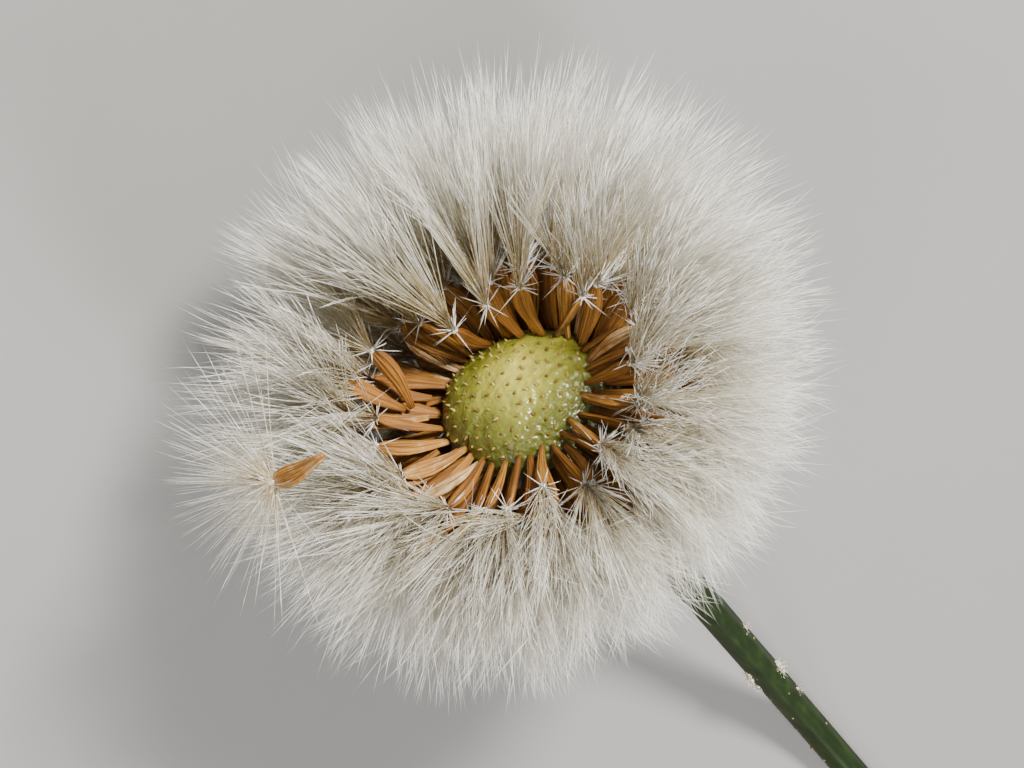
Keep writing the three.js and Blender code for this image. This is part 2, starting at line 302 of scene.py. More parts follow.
PALE_MIDDLE = [-0.5, -0.3, -0.6]
PALE_REACH = 4.4
flesh, nodes, shader = finish_for("wet_green_flesh", 0.33, Coat_Weight=0.6, Coat_Roughness=0.06,
                                  Subsurface_Weight=0.1, Subsurface_Scale=0.8 * MM,
                                  Subsurface_Radius=(0.6, 0.9, 0.25))
place = object_place(nodes)
from_top = nodes.add("ShaderNodeVectorMath", {"operation": "DISTANCE"})
nodes.set(from_top, "0", place)
from_top.inputs[1].default_value = Vector(in_row(PALE_MIDDLE))
spread = nodes.math("MULTIPLY", from_top.outputs["Value"], 1 / (PALE_REACH * MM))
mottle, _ = grain(nodes, place, 900.0)
spread = nodes.math("ADD", spread, nodes.math("MULTIPLY", nodes.math("SUBTRACT", mottle, 0.5), 0.5))
# Palest near the top of the dome and darker with distance from it: partly the flesh's own colour, partly
# painted shade where the dome curves away and runs under the seeds.
colour = nodes.ramp(spread, [(0.05, (0.43, 0.39, 0.065)), (0.34, (0.27, 0.265, 0.032)),
                             (0.62, (0.125, 0.135, 0.012)), (0.9, (0.045, 0.052, 0.005))])
colour = nodes.mix(nodes.math("MULTIPLY", attribute(nodes, "pit"), 0.75), colour, (0.16, 0.11, 0.012, 1))
nodes.set(shader, "Base Color", colour)
_, relief = grain(nodes, place, 4600.0, 0.35)
cells = nodes.add("ShaderNodeTexVoronoi", Scale=5200.0)
nodes.set(cells, "Vector", place)
beads = nodes.add("ShaderNodeBump", {"invert": True}, Strength=0.4, Distance=0.06 * MM,
                  Height=cells.outputs["Distance"], Normal=relief)
nodes.set(shader, "Normal", beads.outputs[0])
nodes.set(shader, "Coat Normal", beads.outputs[0])
cushion.data.materials.append(flesh)


def planting_tree():
    """Sets a copy of Form on every point, along its 'way', flat side by its 'flat', at its 'size'."""
    tree = bpy.data.node_groups.new("planting", "GeometryNodeTree")
    sockets = tree.interface
    sockets.new_socket("Points", in_out="INPUT", socket_type="NodeSocketGeometry")
    sockets.new_socket("Form", in_out="INPUT", socket_type="NodeSocketObject")
    sockets.new_socket("Finish", in_out="INPUT", socket_type="NodeSocketMaterial")
    sockets.new_socket("Seed", in_out="INPUT", socket_type="NodeSocketInt")
    sockets.new_socket("Geometry", in_out="OUTPUT", socket_type="NodeSocketGeometry")
    build = Nodes(tree)
    start = build.add("NodeGroupInput")
    end = build.add("NodeGroupOutput")

    def named(name, kind):
        return build.add("GeometryNodeInputNamedAttribute", {"data_type": kind}, Name=name).outputs[0]

    form = build.add("GeometryNodeObjectInfo", Object=start.outputs["Form"])
    along = build.add("FunctionNodeAlignRotationToVector", {"axis": "Z"},
                      Vector=named("way", "FLOAT_VECTOR"))
    flat = build.add("FunctionNodeAlignRotationToVector", {"axis": "Y", "pivot_axis": "Z"},
                     Rotation=along.outputs[0], Vector=named("flat", "FLOAT_VECTOR"))
    plant = build.add("GeometryNodeInstanceOnPoints", Points=start.outputs["Points"],
                      Instance=form.outputs["Geometry"], Rotation=flat.outputs[0],
                      Scale=named("size", "FLOAT_VECTOR"))
    dice = build.add("FunctionNodeRandomValue", {"data_type": "FLOAT"}, Seed=start.outputs["Seed"])
    shade = build.add("GeometryNodeStoreNamedAttribute", {"data_type": "FLOAT", "domain": "INSTANCE"},
                      Geometry=plant.outputs[0], Name="shade")
    tree.links.new(dice.outputs[1], shade.inputs["Value"])
    real = build.add("GeometryNodeRealizeInstances", Geometry=shade.outputs[0])
    done = build.add("GeometryNodeSetMaterial", Geometry=real.outputs[0],
                     Material=start.outputs["Finish"])
    tree.links.new(done.outputs[0], end.inputs[0])
    return tree


PLANTING = planting_tree()
TABLE_GAP = 0.02


def plant(name, form, material, roots, ways, flats, sizes, seed):
    """A plain mesh of copies of a form, from the planting tree."""
    count = len(roots)
    mesh = bpy.data.meshes.new(name)
    mesh.vertices.add(count)
    mesh.vertices.foreach_set("co", in_row(roots).astype(np.float32).ravel())
    sizes = np.broadcast_to(np.asarray(sizes, float).reshape(count, -1), (count, 3)) * MM
    for key, values in (("way", way_in_row(ways)), ("flat", way_in_row(flats)), ("size", sizes)):
        layer = mesh.attributes.new(key, "FLOAT_VECTOR", "POINT")
        layer.data.foreach_set("vector", np.ascontiguousarray(values, np.float32).ravel())
    piece = bpy.data.objects.new(name, mesh)
    bpy.context.scene.collection.objects.link(piece)
    modifier = piece.modifiers.new("planting", "NODES")
    modifier.node_group = PLANTING
    sockets = {i.name: i.identifier for i in PLANTING.interface.items_tree
               if i.item_type == "SOCKET" and i.in_out == "INPUT"}
    modifier[sockets["Form"]] = form
    modifier[sockets["Finish"]] = material
    modifier[sockets["Seed"]] = seed
    graph = bpy.context.evaluated_depsgraph_get()
    made = bpy.data.meshes.new_from_object(piece.evaluated_get(graph),
                                           preserve_all_data_layers=True, depsgraph=graph)
    made.name = name
    corners = np.empty(3 * len(made.vertices), np.float32)
    made.vertices.foreach_get("co", corners)
    corners[2::3] = np.maximum(corners[2::3], TABLE_GAP * MM)
    made.vertices.foreach_set("co", corners)
    piece.modifiers.clear()
    piece.data = made
    bpy.data.meshes.remove(mesh)
    return piece


def slim_sizes(thickness, lengths):
    """Sizes for long thin forms: one thickness, and a length for each."""
    same = np.full(len(lengths), thickness)
    return np.stack([same, same, lengths], -1)


def unused(form):
    mesh = form.data
    bpy.data.objects.remove(form)
    bpy.data.meshes.remove(mesh)


# Stubs: short pointed threads, golden brown, one in each pit.
STUB_SIDES = 6
STUB_THICKNESS = 0.15
STUB_LENGTH = 0.22
stub_rings = [(0.0, 0.55), (0.35, 0.5), (0.65, 0.32), (0.9, 0.16), (1.0, 0.04)]
stub_points = [(r * math.cos(2 * math.pi * s / STUB_SIDES) + 0.12 * z * z,
                r * math.sin(2 * math.pi * s / STUB_SIDES), z)
               for z, r in stub_rings for s in range(STUB_SIDES)]
stub_form = piece_from("stub_form", stub_points, tube_faces(len(stub_rings), STUB_SIDES))
stub_skin, nodes, shader = finish_for("stub_brown", 0.5)
tone = nodes.ramp(attribute(nodes, "shade"), [(0.0, (0.10, 0.06, 0.008)), (0.5, (0.20, 0.14, 0.022)),
                                              (1.0, (0.38, 0.31, 0.07))])
nodes.set(shader, "Base Color", tone)
count = len(pit_site)
lean = unit(cushion_normal(pit_site) + dice.normal(0, 0.3, pit_site.shape))
stub_size = slim_sizes(STUB_THICKNESS, STUB_LENGTH + 0.1 * dice.random(count))
stubs = plant("cushion_stubs", stub_form, stub_skin, on_cushion(pit_site, np.full(count, -0.09)),
              lean, dice.normal(size=(count, 3)), stub_size, 1)
unused(stub_form)

for piece in (cushion, stubs):
    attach(piece, "root")
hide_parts("receptacle")


# Seeds (achenes)
# Flat ribbed fruits, orange-brown and dry, packed round the cushion with their narrow ends on it.
# The foremost ones stand upright on one side of the bare face and lean well out elsewhere.

SEEDS = 192
SEED_LENGTH = 3.15
SEED_SINK = -0.03
LAST_SITE = 126
LAST_LEAN = 137
FRONT_SHARE = 0.36
BALL_RADIUS = 14.0
BALL_FLATTENING = 0.09
FLATTENED_WAY = np.array([0, 0.788, -0.616])
OPENING_TILT = 25
BACK_LIMIT = 152
LOOSE_ROOT = np.array([6.97, 5.17, 9.92])
LOOSE_TIP = np.array([9.08, 3.53, 8.66])
LOOSE_SIZE = [3.5, 3.0, 3.0]


def front_lean(azimuth):
    """How far the foremost seeds lean from the head's axis."""
    return 64 + 5 * np.sin(np.radians(azimuth)) - 50 * bump(azimuth, 215, 45)


def open_half(azimuth):
    """How far the hair stands back from the open face's own axis, in degrees."""
    near_loose = bump((azimuth + 180) % 360 - 180, 2, 28)
    return 37.5 + 4.5 * np.sin(np.radians(azimuth)) - 4.5 * near_loose


def opening_frame(v):
    """Turns directions about the opening's own axis into the head's frame."""
    c = math.cos(math.radians(OPENING_TILT))
    s = math.sin(math.radians(OPENING_TILT))
    return np.stack([v[:, 0], c * v[:, 1] + s * v[:, 2], -s * v[:, 1] + c * v[:, 2]], -1)


def place_on_ball(azimuth, share):
    """Where a seed's hair ends on the ball."""
    half = open_half(azimuth)
    front = opening_frame(direction(half, azimuth))
    back = direction(BACK_LIMIT, azimuth)
    cos_front = np.cos(np.radians(half))
    cos_back = math.cos(math.radians(BACK_LIMIT))
    at = np.degrees(np.arccos(cos_front + (cos_back - cos_front) * share))
    part = (at - half) / (BACK_LIMIT - half)
    whole = np.arccos((front * back).sum(-1))
    a = np.sin((1 - part) * whole) / np.sin(whole)
    b = np.sin(part * whole) / np.sin(whole)
    return front * a[:, None] + back * b[:, None]


def on_ball(place):
    squash = 1 - BALL_FLATTENING * (place @ FLATTENED_WAY) ** 2
    return place * (BALL_RADIUS * squash)[:, None]


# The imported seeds: their share counts from the rim of the bare face to the back of the cushion.
number = np.arange(SEEDS - 1)
packed = len(number)
share = (number + 1) / SEEDS
azimuth = (number * GOLDEN_ANGLE) % 360
rim = bare_rim(azimuth)
seed_site = direction(rim + (LAST_SITE - rim) * share**1.35, azimuth)
dice = np.random.default_rng(5)
lean = front_lean(azimuth)
untidy = 1 + 0.9 * bump(azimuth, 322, 48)
lean = lean + (LAST_LEAN - lean) * share**1.2 + dice.normal(0, 6, packed) * untidy
seed_way = direction(lean, azimuth + dice.normal(0, 7, packed) * untidy)
seed_root = on_cushion(seed_site, np.full(packed, SEED_SINK))
seed_size = SEED_LENGTH * (0.88 + 0.2 * dice.random(packed))
seed_width = (0.85 + 0.35 * dice.random(packed)) * (1 - 0.2 * bump(azimuth, 100, 65)
                                                    + 0.2 * bump(azimuth, 275, 45))
loosened = (share < 0.14) & (np.abs(azimuth - 318) < 32)
seed_root = seed_root + seed_way * (loosened * (0.35 + 0.5 * dice.random(packed)))[:, None]
seed_place = place_on_ball(azimuth, share)
across = direction(90 + 0 * azimuth, azimuth + 90)
edge_on = 62 * bump(azimuth, 105, 52)
roll = np.radians(edge_on + dice.normal(0, 26 + 20 * bump(azimuth, 215, 50), packed))
seed_flat = unit(np.cross(across, seed_way)) * np.cos(roll)[:, None] + \
    across * np.sin(roll)[:, None]

# Two that have come off the cushion and lie across the left of the rim, then seven that stand up
# over its far side, so that their white ends show as stars.
lying_root = np.array([[3.79, -2.63, -1.06], [4.05, -2.75, -0.98]])
lying_tip = np.array([[3.47, -4.25, 1.46], [5.02, -4.05, 1.42]])
lying_flat = [[0.3, 0.6, 0.7], [-0.2, 0.6, 0.8]]
lying_place = unit(np.array([[3.4, -8.5, 7.6], [6.6, -7.6, 6.6]]))
standing_polar = np.array([62, 52, 51.5, 55, 53, 51, 69])
standing_azimuth = np.array([262, 248, 200, 170, 150, 128, 280])
standing_tip = np.array([[0.41, -2.60, 0.96], [-1.24, -2.08, 1.43], [-4.32, 0.19, 0.68],
                         [-5.37, 1.56, -0.34], [-4.28, 3.21, 0.03], [-3.21, 4.71, -0.85],
                         [1.28, -4.45, 0.53]])
lying = len(lying_root)
standing = len(standing_tip)
posed = lying + standing
standing_site = direction(standing_polar, standing_azimuth)
standing_root = on_cushion(standing_site, np.full(standing, SEED_SINK))
posed_way = np.vstack([lying_tip - lying_root, standing_tip - standing_root])
posed_size = np.linalg.norm(posed_way, axis=1)
front = np.concatenate([share < FRONT_SHARE, [True] * posed])
seed_root = np.vstack([seed_root, lying_root, standing_root])
seed_way = np.vstack([seed_way, posed_way / posed_size[:, None]])
seed_size = np.concatenate([seed_size, posed_size])
seed_width = np.concatenate([seed_width, [1.1] * lying, [0.9] * standing])
seed_flat = np.vstack([seed_flat, lying_flat, direction(30, standing_azimuth + 50)])
seed_place = np.vstack([seed_place, lying_place,
                        place_on_ball(standing_azimuth, np.full(standing, 0.03))])
seed_share = np.concatenate([share, [0.05] * posed])
seed_tip = seed_root + seed_way * seed_size[:, None]


def seed_form_piece(name, levels, around, curve=0.03):
    """One flat seed a unit long, cut off at its root, widest near its outer end, ribbed."""
    points, lanes, heights = [], [], []
    for z in levels:
        width = np.interp(z, [0, 0.12, 0.4, 0.62, 0.75, 0.88, 0.95, 1.0],
                          [0.36, 0.44, 0.74, 0.97, 1.0, 0.82, 0.56, 0.26])
        for s in range(around):
            t = 2 * math.pi * s / around
            lane = math.cos(t)
            crest = 0.74 + 0.26 * math.cos(math.pi * 4 * lane)
            thick = 0.058 * (0.55 + 0.45 * width) * crest
            points.append((0.122 * width * lane + curve * math.sin(3 * z),
                           thick * math.sin(t) + (0.02 + curve) * z * (1 - z), z))
            lanes.append(lane)
            heights.append(z)
    piece = piece_from(name, points, tube_faces(len(levels), around))
    store(piece, "lane", lanes)
    store(piece, "along", heights)
    return piece


husk, nodes, shader = finish_for("dry_seed_husk", 0.6, Specular_IOR_Level=0.3)
spots, _ = grain(nodes, object_place(nodes), 1500.0)
shade = attribute(nodes, "shade")
along = attribute(nodes, "along")
lane_place = nodes.add("ShaderNodeCombineXYZ", X=attribute(nodes, "lane"),
                       Z=nodes.math("MULTIPLY", shade, 40))
nodes.set(lane_place, "Y", nodes.math("MULTIPLY", along, 0.28))
ribs, relief = grain(nodes, lane_place.outputs[0], 4.6, 1.0)
tone = nodes.math("ADD", nodes.math("MULTIPLY", shade, 0.6), nodes.math("MULTIPLY", spots, 0.4))
# The palest stop, which a few seeds reach, is a painted sheen: pale brown standing for a glossy highlight.
colour = nodes.ramp(tone, [(0.12, (0.19, 0.072, 0.01)), (0.45, (0.31, 0.132, 0.02)),
                           (0.73, (0.38, 0.175, 0.03)), (0.83, (0.64, 0.45, 0.22))])
# The grooves between the ribs are darker: partly the husk's own colour, partly painted shade in the grooves.
groove_colour_and_shade = nodes.ramp(ribs, [(0.4, (0.85, 0.85, 0.85)), (0.56, (0, 0, 0)), (1, (0, 0, 0))])
colour = nodes.mix(groove_colour_and_shade, colour, (0.11, 0.038, 0.008, 1))
nodes.set(shader, "Base Color", colour)
nodes.set(shader, "Normal", relief)

FINE_LEVELS = [0, 0.12, 0.28, 0.45, 0.62, 0.77, 0.88, 0.96, 1.0]
fine_seeds = [seed_form_piece("straight_seed", FINE_LEVELS, 32),
              seed_form_piece("bowed_seed", FINE_LEVELS, 32, -0.06)]
plain_seed = seed_form_piece("plain_seed", [0, 0.4, 0.7, 0.9, 1.0], 8)
bowed = dice.random(len(seed_tip)) < 0.5
seed_width = seed_width * np.interp(seed_share, [0.1, 0.2, 0.36, 0.4], [1, 1.2, 1.2, 1.5])
seed_sizes = np.stack([seed_size * seed_width, seed_size, seed_size], -1)
seed_parts = [("seeds_front", fine_seeds[0], front & ~bowed),
              ("seeds_bowed", fine_seeds[1], front & bowed),
              ("seeds_back", plain_seed, ~front)]
all_seeds = [plant(name, form, husk, seed_root[which], seed_way[which], seed_flat[which],
                   seed_sizes[which], i) for i, (name, form, which) in enumerate(seed_parts, 2)]
loose_way = unit(LOOSE_TIP - LOOSE_ROOT)
loose_seed = plant("loose_seed", fine_seeds[0], husk, [LOOSE_ROOT], [loose_way], [unit(LOOSE_TIP)],
                   [LOOSE_SIZE], 37)
for piece in (*all_seeds, loose_seed):
    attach(piece, "root")
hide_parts("achenes")
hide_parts("loose_achene")
for form in (*fine_seeds, plain_seed):
    unused(form)


# Hair (pappus)
# Silky white hairs, each seed's own bundle fanning from its outer end. Their tips gather in small
# pointed tufts all over the ball, and those under the head are pressed against the table.

HAIRS_A_SEED = 116
TUFTS_A_SEED = 7
HAIR_THICKNESS = 0.038
USUAL_HAIR = 8.0
HAIR_STEPS = 6
LONGEST_HAIR = 12.2
TUFT_SPREAD = 0.19
LOOSE_SHARE = 0.12
HAIR_PIECES = 4
STEM_GAP = 22
OPENING_AXES = opening_frame(np.eye(3))
OPENING_AXIS = OPENING_AXES[2]
THIN_PLACE = unit(np.array([12.3, -0.6, 3.0]))


def hair_form_piece(name, bend, wave, steps=HAIR_STEPS):
    """One hair a unit long: three-sided, tapering, slightly bent."""
    half = HAIR_THICKNESS / USUAL_HAIR / 2
    points, faces = [], []
    for i in range(steps):
        z = i / steps
        radius = half * (1 - 0.55 * z)
        sway = bend * z * z + wave * math.sin(math.pi * z)
        for s in range(3):
            t = 2 * math.pi * s / 3
            points.append((radius * math.cos(t) + sway, radius * math.sin(t), z))
            u = (s + 1) % 3
            a = i * 3 + s
            b = i * 3 + u
            faces.append((a, b, b + 3, a + 3) if i < steps - 1 else (a, b, 3 * steps))
    points.append((bend, 0, 1))
    faces.append((2, 1, 0))
    piece = piece_from(name, points, faces)
    store(piece, "along", [p[2] for p in points])
    return piece


def clear_of_openings(place, dice):
    """Moves tuft places out of the open face and off the stem."""
    across = place @ OPENING_AXES[0]
    up = place @ OPENING_AXES[1]
    face_edge = open_half(np.degrees(np.arctan2(up, across)) % 360) - 4
    for axis, least in ((OPENING_AXIS, face_edge), (np.array([0, 0, -1.0]), STEM_GAP)):
        angle = np.degrees(np.arccos(np.clip(place @ axis, -1, 1)))
        aim = least + 7 * dice.random(len(place))
        side = unit(place - (place @ axis)[:, None] * axis)
        moved = axis * np.cos(np.radians(aim))[:, None] + side * np.sin(np.radians(aim))[:, None]
        place = np.where((angle < least)[:, None], moved, place)
    return place


def hairs_between(dice, tips, places, freedom):
    """Roots and ends of the hairs of some seeds, gathered in tufts of uneven length."""
    count = len(tips)
    tufts = unit(places[:, None, :] + dice.normal(0, TUFT_SPREAD, (count, TUFTS_A_SEED, 3)))
    tufts = clear_of_openings(tufts.reshape(-1, 3), dice).reshape(count, TUFTS_A_SEED, 3)
    reach = 0.82 + 0.21 * dice.random((count, TUFTS_A_SEED))
    which = dice.integers(0, TUFTS_A_SEED, (count, HAIRS_A_SEED))
    aims = np.take_along_axis(tufts, which[:, :, None], 1)
    reach = np.take_along_axis(reach, which, 1)
    loose = dice.random((count, HAIRS_A_SEED)) < LOOSE_SHARE
    aims = unit(aims + dice.normal(0, 1, aims.shape) * np.where(loose, 0.17, 0.036)[:, :, None])
    reach = np.where(loose, 0.84 + 0.2 * dice.random(reach.shape),
                     reach * (1 - 0.2 * dice.random(reach.shape) ** 2))
    roots = np.repeat(tips[:, None, :], HAIRS_A_SEED, 1).reshape(-1, 3)
    ends = on_ball(clear_of_openings(aims.reshape(-1, 3), dice)) * reach.reshape(-1, 1)
    outward = unit(roots - (roots @ OPENING_AXIS)[:, None] * OPENING_AXIS)
    sideways = np.cross(OPENING_AXIS, outward)
    drift = ((ends - roots) * sideways).sum(1)
    allowed = np.repeat(freedom, HAIRS_A_SEED) * np.linalg.norm(ends - roots, axis=1)
    excess = np.maximum(np.abs(drift) - allowed, 0)
    straight = ends - sideways * (0.75 * np.sign(drift) * excess)[:, None]
    ends = unit(straight) * np.linalg.norm(ends, axis=1)[:, None]
    length = np.linalg.norm(ends - roots, axis=1)
    keep = (excess < 0.3 * length) & (length < LONGEST_HAIR)
    thin = np.exp((unit(ends) @ THIN_PLACE - 1) * 26)
    keep &= dice.random(len(ends)) > 0.4 * thin
    roots = roots + dice.normal(0, 0.06, roots.shape)
    return roots[keep], ends[keep]


def lifted_off_table(ends, dice):
    row = ends @ HEAD_AXES.T + BALL_MIDDLE
    low = 0.05 + 0.35 * dice.random(len(row))
    row[:, 2] = np.maximum(row[:, 2], low)
    return (row - BALL_MIDDLE) @ HEAD_AXES


silk, nodes, shader = finish_for("silky_hair", 0.27, IOR=1.5, Specular_IOR_Level=0.75)
along = attribute(nodes, "along")
# Along each hair: the inner half is darker and browner and the tip whiter, partly the hair's own golden tint
# at the root and partly painted shade deep in the ball.
colour = nodes.ramp(along, [(0.0, (0.70, 0.58, 0.33)), (0.12, (0.52, 0.38, 0.16)),
                            (0.34, (0.59, 0.52, 0.33)), (0.6, (0.70, 0.68, 0.59)),
                            (1.0, (0.88, 0.88, 0.85))])
shade = attribute(nodes, "shade")
colour = nodes.mix(nodes.math("MULTIPLY", shade, 0.5), colour, (0.55, 0.47, 0.31, 1))
# Painted glints and painted shade along the hairs: noise streaks darken some stretches and light others
# almost white.
glint_place = nodes.add("ShaderNodeCombineXYZ", X=nodes.math("MULTIPLY", along, 9),
                        Y=nodes.math("MULTIPLY", shade, 90))
glints, _ = grain(nodes, glint_place.outputs[0], 1.0)
painted_streak_shade = nodes.ramp(glints, [(0.36, (0.3, 0.3, 0.3)), (0.5, (0, 0, 0))])
colour = nodes.mix(painted_streak_shade, colour, (0.42, 0.38, 0.28, 1))
painted_glint = nodes.ramp(glints, [(0.54, (0, 0, 0)), (0.62, (1, 1, 1))])
colour = nodes.mix(painted_glint, colour, (0.99, 0.99, 0.97, 1))
nodes.set(shader, "Base Color", colour)

HAIR_BENDS = [(0.03, 0.0), (0.07, 0.01), (-0.04, 0.03), (0.05, -0.02)]
hair_forms = [hair_form_piece(f"hair_form_{i}", bend, wave)
              for i, (bend, wave) in enumerate(HAIR_BENDS)]
# How far hairs may stray sideways, as a share of their length. Those of the first lying seed may
# stray most, because its bundle spreads over the gap above it.
freedom = np.interp(seed_share, [0.1, 0.35, 0.5], [0.1, 0.2, 1.0])
freedom[packed] = 1.0
for i in range(HAIR_PIECES):
    dice = np.random.default_rng(100 + i)
    mine = np.arange(len(seed_tip)) % HAIR_PIECES == i
    roots, ends = hairs_between(dice, seed_tip[mine], seed_place[mine], freedom[mine])
    ends = lifted_off_table(ends, dice)
    way = ends - roots
    length = np.linalg.norm(way, axis=1)
    hair = plant(f"hair_{i + 1}", hair_forms[i], silk, roots, way / length[:, None],
                 dice.normal(size=way.shape), length, 20 + i)
    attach(hair, "root")
    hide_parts("pappus")

# Bright white stars at the outer ends of the seeds round the open face: a small knot, and the
# stiff feet of the hairs, some spread flat on all sides of it and some along its bundle.
STAR_SHARE = 0.3
RAY_THICKNESS = 14
KNOT_RADIUS = 0.17
LOOSE_FAN = unit(np.array([1.6, -1.9, -0.9]))
dice = np.random.default_rng(60)
near = seed_share < STAR_SHARE
starred = np.concatenate([seed_tip[near], [LOOSE_TIP]])
out_ways = np.concatenate([seed_way[near], [3 * loose_way]])
fan_ways = np.concatenate([unit(on_ball(seed_place[near]) - seed_tip[near]), [LOOSE_FAN]])
white, nodes, shader = finish_for("star_white", 0.3, Sheen_Weight=0.9, Sheen_Roughness=0.35,
                                  Subsurface_Weight=0.5, Subsurface_Scale=0.6 * MM,
                                  Subsurface_Radius=(1, 1, 1))
along = attribute(nodes, "along")
nodes.set(shader, "Base Color", nodes.ramp(along, [(0.0, (0.99, 0.985, 0.96)), (0.5, (0.98, 0.95, 0.87)),
                                                   (1.0, (0.90, 0.86, 0.74))]))
ray_form = hair_form_piece("ray_form", 0.0, 0.0, 2)
ray_roots, ray_ways, ray_sizes = [], [], []
# How many a star has, how wide they spread about which way, and their least and added length.
for rays, around, middle, reach in ((16, 1.0, out_ways * 0.45, (0.6, 1.1)),
                                    (14, 0.36, fan_ways, (1.2, 1.3))):
    roots = np.repeat(starred, rays, 0)
    ray_roots.append(roots)
    ray_ways.append(unit(around * unit(dice.normal(size=roots.shape)) + np.repeat(middle, rays, 0)))
    length = reach[0] + reach[1] * dice.random(len(roots)) ** 1.3
    ray_sizes.append(slim_sizes(RAY_THICKNESS, length))
ray_roots, ray_ways, ray_sizes = map(np.concatenate, (ray_roots, ray_ways, ray_sizes))
star_rays = plant("star_rays", ray_form, white, ray_roots, ray_ways,
                  dice.normal(size=ray_ways.shape), ray_sizes, 32)
unused(ray_form)
knot_form = piece_from("knot_form", *round_mesh(1))
star_knots = plant("star_knots", knot_form, white, starred, out_ways, dice.normal(size=starred.shape),
                   np.full((len(starred), 1), KNOT_RADIUS), 33)
unused(knot_form)

# The loose seed's own hair, fanned over the ball.
LOOSE_HAIRS = 200
NEAREST_END = 12.6
FARTHEST_END = 15.0
dice = np.random.default_rng(77)
ends = LOOSE_TIP + unit(dice.normal(0, 0.55, (LOOSE_HAIRS, 3)) + LOOSE_FAN) * \
    (5.2 + 2.2 * dice.random(LOOSE_HAIRS))[:, None]
reach = np.linalg.norm(ends, axis=1)
ends = ends / reach[:, None] * np.clip(reach, NEAREST_END, FARTHEST_END)[:, None]
roots = LOOSE_TIP + dice.normal(0, 0.07, (LOOSE_HAIRS, 3))
way = ends - roots
length = np.linalg.norm(way, axis=1)
loose_hair = plant("loose_seed_hair", hair_forms[1], silk, roots, way / length[:, None],
                   dice.normal(size=way.shape), length, 31)
for piece in (star_rays, star_knots, loose_hair):
    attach(piece, "root")
for form in hair_forms:
    unused(form)


# Stem
# A hollow, faintly ribbed green stalk, cut off square. White wool clings to it in small clumps,
# and one side carries tiny tan bumps. It widens under the cushion and lies flat at its cut end.

STEM_RADIUS = 0.74
STEM_NECK = 1.08
STEM_SLOPE_LENGTH = 28.6
STEM_BEND = 30.0
STEM_FLAT = 12.0
STEM_SIDES = 48
BEND_STEPS = 16

# Rings along it: their middles, their slope and their radius.
slope = FACE_TILT
stem_start = in_row([0, 0, -5.0]) / MM
down_slope = np.array([0, math.cos(slope), -math.sin(slope)])
widths = [(0, STEM_NECK), (0.9, STEM_NECK * 0.99), (1.8, 0.95), (3.2, 0.8), (5, 0.75)]
widths += [(d, STEM_RADIUS) for d in np.arange(6, STEM_SLOPE_LENGTH, 0.8)]
stations = [(stem_start + down_slope * d, slope, radius) for d, radius in widths]
bend_y = stem_start[1] + math.cos(slope) * STEM_SLOPE_LENGTH
for i in range(BEND_STEPS + 1):
    left = slope * (1 - i / BEND_STEPS)
    centre = np.array([0, bend_y + STEM_BEND * (math.sin(slope) - math.sin(left)),
                       STEM_RADIUS + STEM_BEND * (1 - math.cos(left))])
    stations.append((centre, left, STEM_RADIUS))
flat_y = stations[-1][0][1]
stations += [(np.array([0, flat_y + d, STEM_RADIUS]), 0.0, STEM_RADIUS)
             for d in np.linspace(0.8, STEM_FLAT, 15)]


def stem_ring(centre, angle, radius, step, ribbed=1.0):
    up = np.array([0, math.sin(angle), math.cos(angle)])
    ring = []
    for s in range(STEM_SIDES):
        t = 2 * math.pi * s / STEM_SIDES
        rib = 0.035 * math.cos(7 * t + 0.15 * math.sin(step * 0.3))
        rib += 0.012 * math.sin(3 * t + step * 0.21)
        r = radius * (1 + ribbed * rib)
        ring.append(centre - np.array([1, 0, 0]) * math.cos(t) * r + up * math.sin(t) * r)
    return ring


stem_points = []
for step, (centre, angle, radius) in enumerate(stations):
    stem_points += stem_ring(centre, angle, radius, step)

# The cut end: how far each ring stands out of it, its radius, and how strong its ribs are.
END_RINGS = [(0.0, 0.66, 1), (0.02, 0.6, 1), (0.0, 0.4, 0.5), (-0.3, 0.34, 0.3), (-2.5, 0.32, 0.0)]
end_centre = stations[-1][0]
last = len(stations) - 1
for out, radius, ribbed in END_RINGS:
    stem_points += stem_ring(end_centre + np.array([0, out, 0]), 0.0, radius, last, ribbed)
rings_total = len(stations) + len(END_RINGS)
stem_array = np.array(stem_points)
stem_array[:, 2] = np.maximum(stem_array[:, 2], 0.0)
stem = piece_from("stalk", stem_array * MM, tube_faces(rings_total, STEM_SIDES))

# Dark green streaks, partly the stalk's own colour and partly painted shade that darkens the whole stalk,
# browner on one side, and pale flesh where it is cut.
SHADED_WIDTH = 0.75
CUT_DEPTH = 0.25
CUT_SHARPNESS = 9000
skin, nodes, shader = finish_for("stalk_skin", 0.55, Specular_IOR_Level=0.18)
place = object_place(nodes)
axes = nodes.add("ShaderNodeSeparateXYZ")
nodes.set(axes, "Vector", place)
streak_way = nodes.add("ShaderNodeMapping")
nodes.set(streak_way, "Vector", place)
streak_way.inputs["Scale"].default_value = (1, 0.06, 1)
streak, relief = grain(nodes, streak_way.outputs[0], 2600.0, 0.35)
mottle, _ = grain(nodes, place, 700.0)
tone = nodes.math("ADD", nodes.math("MULTIPLY", streak, 0.75), nodes.math("MULTIPLY", mottle, 0.25))
colour = nodes.ramp(tone, [(0.3, (0.004, 0.010, 0.001)), (0.52, (0.009, 0.020, 0.0025)),
                           (0.72, (0.019, 0.038, 0.005))])
side = nodes.math("MULTIPLY", axes.outputs["X"], 1 / (SHADED_WIDTH * MM))
brown = nodes.math("MULTIPLY", nodes.math("SUBTRACT", side, 0.35), 1.3, clamp=True)
colour = nodes.mix(nodes.math("MULTIPLY", brown, 0.5), colour, (0.03, 0.022, 0.008, 1))
end_y = cad_box[1][1]
past_cut = nodes.math("SUBTRACT", axes.outputs["Y"], end_y - CUT_DEPTH * MM)
cut = nodes.math("MULTIPLY", past_cut, CUT_SHARPNESS, clamp=True)
